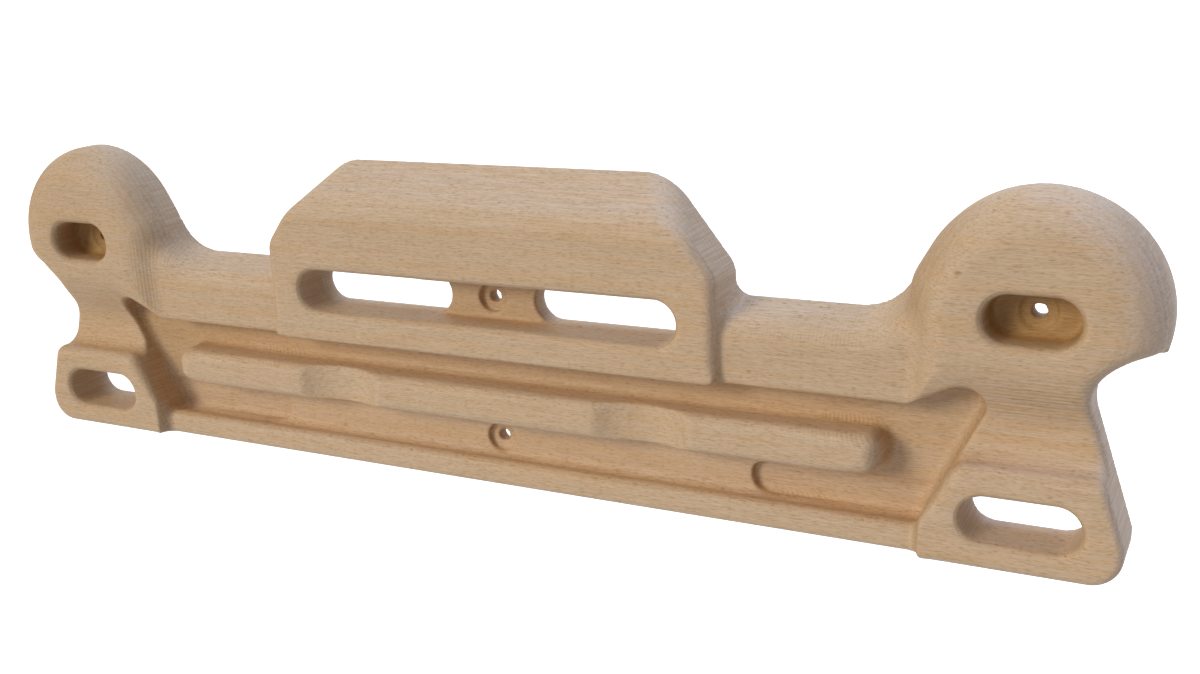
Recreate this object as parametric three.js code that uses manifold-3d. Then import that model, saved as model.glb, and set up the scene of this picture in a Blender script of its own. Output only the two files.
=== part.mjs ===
// A wall-mounted training board for climbers, milled out of a beech panel.
// The panel is glued up from three horizontal staves. Each stave, or each island that the
// milling leaves standing of the top stave, is a mesh of its own.
// Units are millimetres. X runs along the board, Z points up, the wall is the plane Y = 0
// and the front faces -Y. A depth is a distance in front of the wall, a height is measured
// from the bottom edge, and only the finished meshes are moved down to the origin.
import * as THREE from 'three';
import { mergeVertices } from 'three/addons/utils/BufferGeometryUtils.js';
import Module from 'manifold-3d';

const wasm = await Module();
wasm.setup();

// Driving dimensions of the panel
const panelThickness = 28;
const floorThickness = 10;
const beamBottom = 65;
const armHeight = 35;
const armLength = 78.8;
const armSetback = 6;
const blockHalfWidth = 119.7;
const blockRise = 52.3;
const podRadius = 49;

// Glue lines between the staves
const glueLine = 0.3;
const lowerJointDrop = 8;
const upperJointRise = 6;

// Centre block with its sloping top
const blockTopDrop = 19.5;
const blockBevelRun = 30.2;
const blockBevelRise = 39.4;
const blockCornerRadius = 12;
const blockNoseRadius = 5;
const blockEdgeRadius = 5;

// Arms between the block and the pods
const armNoseRadius = 14;
const armBlockFillet = 7;
const armPodFillet = 24;

// Pods: the two big round slopers at the top corners, each with a straight inner side
const podRise = 5.25;
const podEdgeRadius = 20;
const podSideStandoff = 1.75;
const podKinkRise = 10;
const podBaseDrop = 34.75;
const podToeDrop = 45.25;
const podKneeRun = 30;

// Ears below the pods, and the necks that join them
const earInset = 9.25;
const earSideRun = 38.75;
const earCornerRadius = 13;
const earShoulderHeight = 17;
const neckInset = 16.5;
const neckDrop = 33.25;
const neckArcRadius = 20;
const neckThickness = 14;
const neckFillet = 16;
const neckFilletRun = 8;
const neckFilletTurn = 0.28 * Math.PI;
const ledgeHeight = 44;
const ledgeFillet = 6;

// Recess under the arms and the block, which runs up into a tip beside each neck
const recessCornerRun = 2.25;
const recessCornerRadius = 4;
const recessFillet = 6;
const earFootHeight = 17.5;
const earFootRadius = 6;
const tipRun = 35.7;
const tipRise = 22.4;
const tipRadius = 9;

// Rung across the recess, with two scoops in its front
const rungEndGap = 17;
const rungBottom = 32.5;
const rungHeight = 18;
const rungSetback = 0.5;
const rungCornerRadius = 7;
const scoopCentreX = 83.3;
const scoopHalfChord = 23.3;
const scoopDepth = 6.5;

// Shelf along the bottom, and the two deeper finger pockets above it
const shelfSetback = 6.5;
const shelfTop = 13;
const shelfBackDrop = 2.5;
const shelfEdgeRadius = 2.5;
const deepStep = 4;
const deepLength = 78;

// Openings: finger slots, finger pockets and the window in the block
const openingRadius = 10;
const slotHalfLength = 23.8;
const slotInset = 0.8;
const slotCentreHeight = 21.3;
const slotMouthRadius = 3.5;
const pocketHalfLength = 18.5;
const pocketFillet = 3;
const windowMargin = 18.7;
const windowRise = 25.5;
const bridgeHalfWidth = 23;
const mouthRadius = 4;

// Screw holes with their counterbores
const screwHoleRadius = 3;
const counterboreRadius = 7.25;
const counterboreDepth = 3;
const lowerScrewHeight = 20.4;

// Rounding of plain edges, how far a cutter runs past what it cuts, and how finely
// arcs and roundings are divided
const edgeRadius = 4;
const overrun = 6;
const arcStep = Math.PI / 20;
const roundingChord = 3.4;
const leastRoundingSteps = 3;

// Derived sizes and places
const armTop = beamBottom + armHeight;
const armThickness = panelThickness - armSetback;
const blockTop = armTop + blockRise;
const podInnerX = blockHalfWidth + armLength;
const podCentre = new THREE.Vector2(podInnerX + podSideStandoff + podRadius, armTop + podRise);
const podTop = podCentre.y + podRadius;
const podKink = new THREE.Vector2(podInnerX, podCentre.y + podKinkRise);
const podBase = podCentre.y - podBaseDrop;
const earInnerX = podInnerX + earInset;
const earOuterX = podCentre.x + earSideRun;
const neckCentre = new THREE.Vector2(earOuterX - neckInset + neckArcRadius, podCentre.y - neckDrop);
const windowCentreHeight = beamBottom + windowRise;
const lowerJoint = beamBottom - lowerJointDrop;
const upperJoint = armTop + upperJointRise;
const originHeight = podTop / 2;
const beyondSides = podCentre.x + podRadius + overrun;
const beyondTop = podTop + overrun;
const beyondFront = panelThickness + overrun;
const quarterTurn = Math.PI / 2;

function arc(centre, radius, fromAngle, toAngle) {
  const steps = Math.max(2, Math.ceil(Math.abs(toAngle - fromAngle) / arcStep));
  return Array.from({ length: steps + 1 }, (_, i) => {
    const angle = fromAngle + ((toAngle - fromAngle) * i) / steps;
    return new THREE.Vector2(Math.cos(angle), Math.sin(angle)).multiplyScalar(radius).add(centre);
  });
}

// A path through corners given as [x, y, radius]. Each corner is rounded by its radius,
// as far as the straight stretches beside it allow.
function roundedPath(corners) {
  const places = corners.map(([x, y]) => new THREE.Vector2(x, y));
  return corners.flatMap(([, , radius = 0], i) => {
    const corner = places[i];
    if (radius === 0 || i === 0 || i === corners.length - 1) {
      return [corner];
    }
    const toBefore = places[i - 1].clone().sub(corner);
    const toAfter = places[i + 1].clone().sub(corner);
    const room = Math.min(toBefore.length(), toAfter.length()) / 2;
    toBefore.normalize();
    toAfter.normalize();
    const halfAngle = Math.acos(toBefore.dot(toAfter)) / 2;
    const reach = Math.min(radius / Math.tan(halfAngle), room);
    const fitted = reach * Math.tan(halfAngle);
    const middle = toBefore.clone().add(toAfter).normalize();
    const centre = corner.clone().addScaledVector(middle, fitted / Math.sin(halfAngle));
    const start = corner.clone().addScaledVector(toBefore, reach).sub(centre).angle();
    const end = corner.clone().addScaledVector(toAfter, reach).sub(centre).angle();
    const turn = Math.atan2(Math.sin(end - start), Math.cos(end - start));
    return arc(centre, fitted, start, start + turn);
  });
}

// The right half of an outline and its mirror image, as one closed outline.
function mirrored(rightHalf) {
  const leftHalf = rightHalf.filter((p) => p.x > 0).map((p) => new THREE.Vector2(-p.x, p.y));
  return [...rightHalf, ...leftHalf.reverse()];
}

function toSolid(geometry) {
  const bare = geometry.clone();
  bare.deleteAttribute('normal');
  bare.deleteAttribute('uv');
  const merged = mergeVertices(bare);
  return new wasm.Manifold(new wasm.Mesh({
    numProp: 3,
    vertProperties: new Float32Array(merged.attributes.position.array),
    triVerts: new Uint32Array(merged.index.array),
  }));
}

function roundingSteps(radius) {
  return Math.max(leastRoundingSteps, Math.ceil((radius * quarterTurn) / roundingChord));
}

// A plate seen from the front: an outline between two depths, its rims rounded by a radius.
function plate(outline, back, front, round = 0) {
  const geometry = new THREE.ExtrudeGeometry(new THREE.Shape(outline), {
    depth: front - back - 2 * round,
    bevelEnabled: round > 0,
    bevelThickness: round,
    bevelSize: round,
    bevelOffset: -round,
    bevelSegments: roundingSteps(round),
  });
  geometry.translate(0, 0, back + round);
  geometry.rotateX(quarterTurn);
  return toSolid(geometry);
}

// A bar along X whose section is a path of depths and heights.
function bar(section, fromX, toX) {
  const shape = new THREE.Shape(section.map((p) => new THREE.Vector2(-p.x, p.y)));
  const geometry = new THREE.ExtrudeGeometry(shape, { depth: toX - fromX, bevelEnabled: false });
  geometry.translate(0, 0, fromX);
  geometry.applyMatrix4(new THREE.Matrix4().makeBasis(
    new THREE.Vector3(0, 1, 0),
    new THREE.Vector3(0, 0, 1),
    new THREE.Vector3(1, 0, 0),
  ));
  return toSolid(geometry);
}

function box(fromX, toX, back, front, bottom, top) {
  const geometry = new THREE.BoxGeometry(toX - fromX, front - back, top - bottom);
  geometry.translate((fromX + toX) / 2, -(back + front) / 2, (bottom + top) / 2);
  return toSolid(geometry);
}

// An oblong with round ends, lofted along its depth through rings given as [depth, radius].
// A half run of zero makes it round.
function oblong(centre, halfRun, rings) {
  const unitEnd = arc(new THREE.Vector2(), 1, -quarterTurn, quarterTurn);
  const end = halfRun > 0 ? unitEnd : unitEnd.slice(0, -1);
  const runEnd = new THREE.Vector2(halfRun, 0);
  const sheets = rings.map(([depth, radius]) => {
    const right = end.map((p) => p.clone().multiplyScalar(radius).add(runEnd));
    const ring = [...right, ...right.map((p) => p.clone().negate())];
    return ring.map((p) => new THREE.Vector3(centre.x + p.x, -depth, centre.y + p.y));
  });
  const ends = [rings[0], rings[rings.length - 1]];
  const caps = ends.map(([depth]) => new THREE.Vector3(centre.x, -depth, centre.y));
  const count = sheets[0].length;
  const points = [...sheets.flat(), ...caps];
  const backCap = points.length - 2;
  const frontCap = points.length - 1;
  const frontRing = backCap - count;
  const index = [];
  for (let i = 0; i < count; i += 1) {
    const next = (i + 1) % count;
    for (let ring = 0; ring < frontRing; ring += count) {
      index.push(ring + i, ring + next, ring + next + count);
      index.push(ring + i, ring + next + count, ring + i + count);
    }
    index.push(backCap, next, i);
    index.push(frontCap, frontRing + i, frontRing + next);
  }
  return toSolid(new THREE.BufferGeometry().setFromPoints(points).setIndex(index));
}

// Rings of an opening: straight walls that flare out to the front face.
function mouthRings(back, radius, flare) {
  const steps = roundingSteps(flare);
  const flared = Array.from({ length: steps + 1 }, (_, i) => {
    const angle = (i / steps) * quarterTurn;
    return [panelThickness - flare + flare * Math.sin(angle), radius + flare * (1 - Math.cos(angle))];
  });
  return [[back, radius], ...flared, [beyondFront, radius + flare]];
}

// Calls a maker with a centre on the right and with its mirror image, and joins the two.
function bothSides(make, centre) {
  return make(centre).add(make(new THREE.Vector2(-centre.x, centre.y)));
}

// Angle on a circle at which it meets another one. A side of 1 takes the meeting point on
// the left as seen from its centre to the other's, and -1 the one on the right.
function meetingAngle(centre, radius, otherCentre, otherRadius, side) {
  const toOther = otherCentre.clone().sub(centre);
  const span = toOther.length();
  const cosine = (span ** 2 + radius ** 2 - otherRadius ** 2) / (2 * span * radius);
  return toOther.angle() + side * Math.acos(cosine);
}

// Angle on the pod's circle where the straight line to the kink leaves it.
function podTangentAngle() {
  const toKink = podKink.clone().sub(podCentre);
  return toKink.angle() - Math.acos(podRadius / toKink.length());
}

function podArc(fromAngle) {
  return arc(podCentre, podRadius, fromAngle, podTangentAngle());
}

// Right side of an ear's outline, from the bottom edge over the shoulder and up a straight
// lean to the concave arc of the neck, which it follows to the given angle.
function earEdge(endAngle) {
  const shoulder = new THREE.Vector2(earOuterX, earShoulderHeight);
  const toShoulder = shoulder.clone().sub(neckCentre);
  const startAngle = toShoulder.angle() - Math.acos(neckArcRadius / toShoulder.length());
  return [
    ...roundedPath([[0, 0], [earOuterX, 0, earCornerRadius], [shoulder.x, shoulder.y]]),
    ...arc(neckCentre, neckArcRadius, startAngle, endAngle),
  ];
}

// The right side of the board's outline from the bottom edge to the pod's kink.
function earAndPodEdge() {
  const neckEnd = meetingAngle(neckCentre, neckArcRadius, podCentre, podRadius, -1);
  const podStart = meetingAngle(podCentre, podRadius, neckCentre, neckArcRadius, 1) - 2 * Math.PI;
  return [...earEdge(neckEnd), ...podArc(podStart).slice(1), podKink];
}

// The concave curve from the pod's kink down to the top of the arm.
function armPodCurve() {
  const centreHeight = armTop + armPodFillet;
  const run = Math.sqrt(armPodFillet ** 2 - (podKink.y - centreHeight) ** 2);
  const centre = new THREE.Vector2(podKink.x - run, centreHeight);
  const start = Math.atan2(podKink.y - centreHeight, run);
  return arc(centre, armPodFillet, start, -quarterTurn);
}

function blockCorners() {
  return [
    [blockHalfWidth, blockTop - blockBevelRise, blockCornerRadius],
    [blockHalfWidth - blockBevelRun, blockTop, blockCornerRadius],
  ];
}

// The board's whole outline against the wall.
function silhouette() {
  const armCurve = armPodCurve();
  const armStart = armCurve[armCurve.length - 1];
  const armAndBlock = roundedPath([
    [armStart.x, armTop],
    [blockHalfWidth, armTop, armBlockFillet],
    ...blockCorners(),
    [0, blockTop],
  ]);
  return mirrored([...earAndPodEdge(), ...armCurve.slice(1), ...armAndBlock.slice(1)]);
}

function makeBlock() {
  const outline = mirrored(roundedPath([
    [0, floorThickness],
    [blockHalfWidth, floorThickness],
    ...blockCorners(),
    [0, blockTop],
  ]));
  return plate(outline, -blockEdgeRadius, panelThickness, blockEdgeRadius);
}

// What is milled off the block's top, which slopes down from the wall to a rounded nose.
function spaceAboveSlope() {
  const noseHeight = blockTop - blockTopDrop;
  const grade = blockTopDrop / panelThickness;
  const slope = roundedPath([
    [-overrun, blockTop + overrun * grade],
    [panelThickness, noseHeight, blockNoseRadius],
    [panelThickness, armTop],
  ]);
  const section = [
    ...slope.slice(0, -1),
    new THREE.Vector2(beyondFront, slope[slope.length - 2].y),
    new THREE.Vector2(beyondFront, blockTop + overrun),
    new THREE.Vector2(-overrun, blockTop + overrun),
  ];
  return bar(section, -blockHalfWidth - overrun, blockHalfWidth + overrun);
}

// Both arms are one bar that passes behind the block's front. It ends inside the pods,
// where their rounded sides have come up to the arms' own thickness, and no higher than
// the kink. The outline itself runs on past both, so that its rim rounds evenly there.
function makeArms() {
  const straightSide = panelThickness - podEdgeRadius;
  const sideRun = podEdgeRadius - Math.sqrt(podEdgeRadius ** 2 - (armThickness - straightSide) ** 2);
  const endX = podInnerX + Math.max(sideRun, 0);
  const curve = armPodCurve();
  const upwards = curve[0].clone().sub(curve[1]).normalize();
  const pastKink = podKink.clone().addScaledVector(upwards, podRadius / 2);
  const outline = mirrored([
    new THREE.Vector2(0, floorThickness),
    new THREE.Vector2(podCentre.x, floorThickness),
    new THREE.Vector2(podCentre.x, pastKink.y),
    pastKink,
    ...curve,
    new THREE.Vector2(0, armTop),
  ]);
  return plate(outline, -armNoseRadius, armThickness, armNoseRadius)
    .intersect(box(-endX, endX, -overrun, armThickness, 0, podKink.y));
}

// A pod: straight on its inner side and along its foot, which rises beside the recess,
// and round elsewhere down to the skirt. That is a straight side that leaves the circle
// and is long enough for the rim to round evenly at its foot.
function makePod(side) {
  const skirtLength = podEdgeRadius;
  const footDirection = Math.asin(podBaseDrop / Math.hypot(podRadius, skirtLength));
  const skirtAngle = Math.atan2(skirtLength, podRadius) - footDirection;
  const skirt = new THREE.Vector2(Math.cos(skirtAngle), Math.sin(skirtAngle));
  const footEndX = podCentre.x + (podRadius + podBaseDrop * skirt.y) / skirt.x;
  const right = [
    podKink,
    new THREE.Vector2(podInnerX, podCentre.y - podToeDrop),
    new THREE.Vector2(podInnerX + podKneeRun, podBase),
    new THREE.Vector2(footEndX, podBase),
    ...podArc(skirtAngle),
  ];
  const outline = right.map((p) => new THREE.Vector2(side * p.x, p.y));
  return plate(outline, -podEdgeRadius, panelThickness, podEdgeRadius);
}

// Ears and necks in section: full thickness up to the ledge, then the thinner neck, which
// sweeps up towards the pod's front.
function earSection() {
  const neckTop = podBase - neckFilletRun;
  const sweepCentre = new THREE.Vector2(neckThickness + neckFillet, neckTop);
  const sweep = arc(sweepCentre, neckFillet, Math.PI, Math.PI - neckFilletTurn);
  const foot = roundedPath([
    [panelThickness, -overrun],
    [panelThickness, ledgeHeight, edgeRadius],
    [neckThickness, ledgeHeight, ledgeFillet],
    [neckThickness, neckTop],
  ]);
  const bottomBack = new THREE.Vector2(-overrun, -overrun);
  const topBack = new THREE.Vector2(-overrun, sweep[sweep.length - 1].y);
  return [bottomBack, ...foot, ...sweep.slice(1), topBack];
}

// Both ears with their necks, whose outline runs on upright into the pods.
function makeEars() {
  const neckSide = new THREE.Vector2(neckCentre.x - neckArcRadius, podCentre.y);
  const outline = mirrored([...earEdge(Math.PI), neckSide, new THREE.Vector2(0, podCentre.y)]);
  return plate(outline, -edgeRadius, panelThickness, edgeRadius)
    .intersect(bar(earSection(), -beyondSides, beyondSides))
    .subtract(box(-earInnerX, earInnerX, -overrun, beyondFront, -overrun, beyondTop));
}

// The recess that the arms and the block overhang, down past the bottom edge.
function recessSpace() {
  const bottom = -overrun - recessFillet;
  const outline = mirrored(roundedPath([
    [0, bottom],
    [earInnerX, bottom],
    [earInnerX, earFootHeight, earFootRadius],
    [earInnerX + tipRun, beamBottom + tipRise, tipRadius],
    [podInnerX + recessCornerRun, beamBottom, recessCornerRadius],
    [0, beamBottom],
  ]));
  return plate(outline, floorThickness, beyondFront + recessFillet, recessFillet);
}

function makeRung() {
  const halfLength = earInnerX - rungEndGap;
  const front = panelThickness - rungSetback;
  const top = rungBottom + rungHeight;
  const outline = mirrored(roundedPath([
    [0, rungBottom],
    [halfLength, rungBottom, rungCornerRadius],
    [halfLength, top, rungCornerRadius],
    [0, top],
  ]));
  const scoopRadius = (scoopHalfChord ** 2 + scoopDepth ** 2) / (2 * scoopDepth);
  const scoopCentre = new THREE.Vector2(scoopCentreX, rungBottom + rungHeight / 2);
  return plate(outline, -edgeRadius, front, edgeRadius).subtract(bothSides((centre) => {
    const sides = Math.ceil((4 * Math.PI) / arcStep);
    const scoop = new THREE.CylinderGeometry(scoopRadius, scoopRadius, rungHeight + overrun, sides);
    scoop.rotateX(quarterTurn);
    scoop.translate(centre.x, -(front - scoopDepth + scoopRadius), centre.y);
    return toSolid(scoop);
  }, scoopCentre));
}

function makeShelf() {
  const front = panelThickness - shelfSetback;
  const section = roundedPath([
    [-overrun, 0],
    [front, 0, shelfEdgeRadius],
    [front, shelfTop, shelfEdgeRadius],
    [floorThickness, shelfTop - shelfBackDrop],
    [-overrun, shelfTop - shelfBackDrop],
  ]);
  return bar(section, -earInnerX - overrun, earInnerX + overrun);
}

function deepPockets() {
  const halfRun = deepLength / 2 - openingRadius;
  const centre = new THREE.Vector2(earInnerX - deepLength / 2, lowerScrewHeight);
  const rings = [[floorThickness - deepStep, openingRadius], [floorThickness + overrun, openingRadius]];
  return bothSides((place) => oblong(place, halfRun, rings), centre);
}

function screwHole(centre) {
  const seat = floorThickness - counterboreDepth;
  const hole = oblong(centre, 0, [[-overrun, screwHoleRadius], [floorThickness, screwHoleRadius]]);
  const counterbore = [[seat, counterboreRadius], [floorThickness + overrun, counterboreRadius]];
  return hole.add(oblong(centre, 0, counterbore));
}

function slots() {
  const centre = new THREE.Vector2(podCentre.x - slotInset, slotCentreHeight);
  const rings = mouthRings(-overrun, openingRadius, slotMouthRadius);
  return bothSides((place) => oblong(place, slotHalfLength - openingRadius, rings), centre);
}

function fingerPockets() {
  const walls = mouthRings(floorThickness + pocketFillet, openingRadius, mouthRadius);
  const rings = [[floorThickness, openingRadius - pocketFillet], ...walls];
  return bothSides((place) => oblong(place, pocketHalfLength - openingRadius, rings), podCentre);
}

// The window's front hollow, and the two holes through the back beside the bridge.
function windowSpace() {
  const halfLength = blockHalfWidth - windowMargin;
  const hollow = oblong(new THREE.Vector2(0, windowCentreHeight), halfLength - openingRadius,
    mouthRings(floorThickness, openingRadius, mouthRadius));
  const holeCentre = new THREE.Vector2((halfLength + bridgeHalfWidth) / 2, windowCentreHeight);
  const holeRun = (halfLength - bridgeHalfWidth) / 2 - openingRadius;
  const rings = [[-overrun, openingRadius], [floorThickness + overrun, openingRadius]];
  return hollow.add(bothSides((place) => oblong(place, holeRun, rings), holeCentre));
}

function screwHoles() {
  return bothSides(screwHole, podCentre)
    .add(screwHole(new THREE.Vector2(0, windowCentreHeight)))
    .add(screwHole(new THREE.Vector2(0, lowerScrewHeight)));
}

function makeBoard() {
  const outline = silhouette();
  const limits = plate(outline, -overrun, beyondFront);
  const front = makeBlock().add(makeArms()).add(makePod(1)).add(makePod(-1)).add(makeEars())
    .subtract(recessSpace());
  const floor = plate(outline, -overrun, floorThickness);
  const relief = front.add(floor).intersect(limits).subtract(spaceAboveSlope()).subtract(deepPockets());
  return relief.add(makeShelf()).add(makeRung())
    .subtract(slots()).subtract(fingerPockets()).subtract(windowSpace()).subtract(screwHoles());
}

function beech(tone) {
  return new THREE.MeshStandardMaterial({
    color: new THREE.Color(0xc9ab82).multiplyScalar(tone),
    roughness: 0.62,
    metalness: 0,
  });
}

// The part of the board between two X values and two heights, as one stave's mesh.
function stave(board, name, fromX, toX, bottom, top, tone) {
  const solid = board.intersect(box(fromX, toX, 0, beyondFront, bottom, top)).getMesh();
  const geometry = new THREE.BufferGeometry();
  geometry.setAttribute('position', new THREE.BufferAttribute(Float32Array.from(solid.vertProperties), 3));
  geometry.setIndex(new THREE.BufferAttribute(Uint32Array.from(solid.triVerts), 1));
  geometry.computeVertexNormals();
  const mesh = new THREE.Mesh(geometry, beech(tone));
  mesh.name = name;
  mesh.position.z = -originHeight;
  return mesh;
}

const board = makeBoard();
const halfGlue = glueLine / 2;
const middleOfArm = (blockHalfWidth + podInnerX) / 2;
const belowBottom = -overrun;

const hangboard = new THREE.Group();
hangboard.add(
  stave(board, 'lower_stave', -beyondSides, beyondSides, belowBottom, lowerJoint - halfGlue, 1),
  stave(board, 'middle_stave', -beyondSides, beyondSides, lowerJoint + halfGlue, upperJoint - halfGlue, 0.97),
  stave(board, 'left_pod_top', -beyondSides, -middleOfArm, upperJoint + halfGlue, beyondTop, 1.02),
  stave(board, 'centre_block_top', -middleOfArm, middleOfArm, upperJoint + halfGlue, beyondTop, 1.02),
  stave(board, 'right_pod_top', middleOfArm, beyondSides, upperJoint + halfGlue, beyondTop, 1.02),
);

export default hangboard;
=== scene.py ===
import math

import bmesh
import bpy
import numpy as np
from mathutils import Matrix, Vector


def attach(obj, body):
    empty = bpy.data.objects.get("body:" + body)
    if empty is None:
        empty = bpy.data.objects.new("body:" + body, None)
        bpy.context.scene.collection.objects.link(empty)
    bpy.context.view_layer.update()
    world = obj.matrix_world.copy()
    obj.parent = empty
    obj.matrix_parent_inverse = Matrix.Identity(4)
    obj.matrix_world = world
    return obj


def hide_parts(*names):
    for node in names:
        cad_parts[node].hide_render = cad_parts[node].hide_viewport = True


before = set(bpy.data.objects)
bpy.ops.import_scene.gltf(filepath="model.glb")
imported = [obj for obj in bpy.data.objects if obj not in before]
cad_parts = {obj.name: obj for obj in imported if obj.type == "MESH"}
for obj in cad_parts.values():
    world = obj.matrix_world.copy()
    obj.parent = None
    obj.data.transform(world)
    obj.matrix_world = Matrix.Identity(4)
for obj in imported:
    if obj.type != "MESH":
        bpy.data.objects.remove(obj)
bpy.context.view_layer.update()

# The board is one distance field in millimetres: x is the distance from the middle, d the
# depth in front of the wall and z the height above the bottom edge. In the mesh's points x has
# its sign. A span is a pair of places between which something fades in, and a gain is what it
# then adds.
MM_IN_METRE = 1000
ORIGIN_HEIGHT = 77.125
LOWER_JOINT = 57.0
UPPER_JOINT = 106.0
PANEL = 28.0
HOLLOW_FLOOR = 10.0
BEAM_BOTTOM = 65.0
PAST_MIDDLE = -60.0
BACK_ROUND = 0.7

# Centre block with its sloping top
BLOCK_SIDE = 119.7
BLOCK_FOOT = 64.0
BLOCK_FOOT_ROUND = 6.0
BLOCK_TOP = 152.3
BLOCK_KNEE = 112.9
BLOCK_KNEE_ROUND = 12.0
BLOCK_SLANT_RUN = 30.2
BLOCK_SLANT_OVERRUN = 1.3
TOP_DROP = 19.5
TOP_ROUND = 9.0
BLOCK_RIM = 2.0
BLOCK_RIM_GAIN = 3.5
BLOCK_RIM_SPAN = (66, 76)

# Arms
ARM_TOP = 100.0
ARM_FRONT = 22.0
ARM_GRADE = 0.37
ARM_ROUND = 7.0
ARM_END = 206.0
ARM_OUTLINE_END = 235.0
ARM_POD_FILLET = 24.0
ARM_BLOCK_FILLET = 2.5
ARM_BLOCK_GAIN = 4.5
ARM_BLOCK_SPAN = (86, 98)
ARM_SIDE_FILLET = 2.5
ARM_SIDE_GAIN = -2.2
ARM_SIDE_SPAN = (104, 113)

# Pods
POD = (249.25, 105.25)
POD_RADIUS = 49.0
POD_ROUND = 20.0
POD_INNER = 198.5
KINK = (POD_INNER, 115.25)
KINK_ROUND = 25.0
POD_TOE = 60.0
POD_KNEE = 228.5
POD_BASE = 70.5
POD_SKIRT = math.radians(-19)
POD_NECK_FILLET = 14.0

# Ears and necks. No neck is left above and outside of the notch's corner.
EAR_SIDE = 288.0
EAR_CORNER_ROUND = 13.0
EAR_SHOULDER = 17.0
EAR_INNER = 207.75
LEDGE_TOP = 44.0
LEDGE_ROUND = 5.0
LEDGE_FILLET = 7.0
NECK_FRONT = 14.0
NECK = (291.5, 72.0)
NECK_RADIUS = 20.0
NECK_END = math.radians(50)
NECK_INNER = 200.0
NECK_TOP = 86.0
NECK_NOTCH = (274.0, 74.0)
BEYOND_EAR = 340.0
BEYOND_NECK = 80.0
BEYOND_TOP = 220.0

# Recess, whose floor sinks towards both ends, and its rim
RECESS_BELOW = -40.0
RECESS_FOOT = 17.5
RECESS_FOOT_ROUND = 6.0
RECESS_TIP = (243.45, 87.4)
RECESS_TIP_ROUND = 9.0
RECESS_CORNER = 200.75
RECESS_CORNER_ROUND = 4.0
RECESS_FILLET = 6.0
RECESS_SINK = 3.2
RECESS_SINK_SPAN = (135, 210)
RIM = 1.8
RIM_GAIN = 3.6
RIM_SIDE_SPAN = (203, 208)
RIM_DEPTH_SPAN = (15, 21)
RIM_LOW_SPAN = (8, 34)
RIM_HIGH_SPAN = (53, 47)

# Deeper finger pockets at the foot of the recess
DEEP = (189.75, 20.4)
DEEP_HALF_LENGTH = 60.0
DEEP_FLOOR = 6.0
DEEP_TOP = 27.0
DEEP_TOP_ROUND = 4.0
DEEP_FILLET = 1.5
DEEP_FILLET_GAIN = 2.5
DEEP_RIM = 0.8
DEEP_RIM_GAIN = 2.2
DEEP_SPAN = (185, 200)

# The deeper pockets and the screw holes are cut only behind this depth, clear of the rung
CUTTER_FRONT = 16.0

# Shelf, rung and its scoops
SHELF_BACK = 10.5
SHELF_GRADE = 0.217
SHELF_COSINE = 0.977
SHELF_FRONT = 21.5
SHELF_ROUND = 5.0
SHELF_END = 214.0
SHELF_FILLET = 5.5
RUNG_END = 190.75
RUNG_BOTTOM = 32.5
RUNG_TOP = 50.5
RUNG_CORNER_ROUND = 7.0
RUNG_FRONT = 27.5
RUNG_ROUND = 4.8
RUNG_ROUND_GAIN = 3.7
RUNG_ROUND_SPAN = (172, 188)
RUNG_FILLET = 4.0
SCOOP = (83.3, 66.01)
SCOOP_RADIUS = 45.01
SCOOP_EDGE = 1.2

# Openings
OPENING_RADIUS = 10.0
MOUTH_ROUND = 4.0
SLOT = (248.45, 21.3)
SLOT_HALF_LENGTH = 23.8
SLOT_MOUTH_ROUND = 3.5
POCKET_HALF_LENGTH = 18.5
POCKET_FILLET = 3.0
WINDOW = (0.0, 90.5)
WINDOW_HALF_LENGTH = 101.0
WINDOW_FILLET = 1.5
WINDOW_HOLE = (62.0, 90.5)
WINDOW_HOLE_HALF_LENGTH = 39.0
WINDOW_HOLE_EDGE = 1.0

# Screw holes with their counterbores, which are a little shallower in the pods
SCREWS = [POD, WINDOW, (0.0, 20.4)]
SCREW_RADIUS = 3.0
SCREW_EDGE = 0.4
SEAT_RADIUS = 7.25
SEAT_FLOOR = 7.0
SEAT_FLOOR_GAIN = 1.6
SEAT_FILLET = 1.2
SEAT_EDGE = 0.7
SEAT_EDGE_GAIN = 0.9
SEAT_SPAN = (195, 205)

# The board's outer edge, sharper at the wall, softer towards both ends and softest where the
# necks meet the pods
OUTER_ROUND = 2.5
OUTER_EAR_GAIN = 1.5
OUTER_EAR_SPAN = (205, 215)
OUTER_NECK_GAIN = 3.0
OUTER_NECK_SPAN = (72, 84)
OUTER_NECK_SIDE_SPAN = (240, 262)
OUTER_BACK_ROUND = 1.2
OUTER_DEPTH_SPAN = (4, 10)

# The grid that the field is sampled on. It starts odd shares of a step before the back and
# the bottom edge, so that neither lies on a plane of its points.
STEP = 1.08
GRID_SIDE = 301.0
GRID_FRONT = 30.2
GRID_TOP = 156.5
GRID_BACK_STEPS = -1.487
GRID_BOTTOM_STEPS = -1.471

# Settling of the points: the rounds, the most that a point moves in one as a share of a step,
# the least square of a slope, and how far before the grid's end the last lookup is, in steps
SETTLE_ROUNDS = 2
SETTLE_REACH = 0.5
LEAST_SLOPE = 0.25
LAST_LOOKUP = 1.001

# The distance before any line is measured, and the square of a length that counts as none
FAR_OFF = 1e9
LEAST_SQUARE = 1e-12

# How far past a joint the mesh is kept until it is cut there, and how near the cut, in metres,
# a point counts as on it
CUT_MARGIN = 2.0
CUT_MERGE = 1e-6

# The spans of x that the pieces lie in
TOP_PIECE_SIDE = 160.0
BEYOND_SIDE = 400.0
WHOLE = (-BEYOND_SIDE, BEYOND_SIDE)
LEFT = (-BEYOND_SIDE, -TOP_PIECE_SIDE)
CENTRE = (-TOP_PIECE_SIDE, TOP_PIECE_SIDE)
RIGHT = (TOP_PIECE_SIDE, BEYOND_SIDE)

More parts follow.
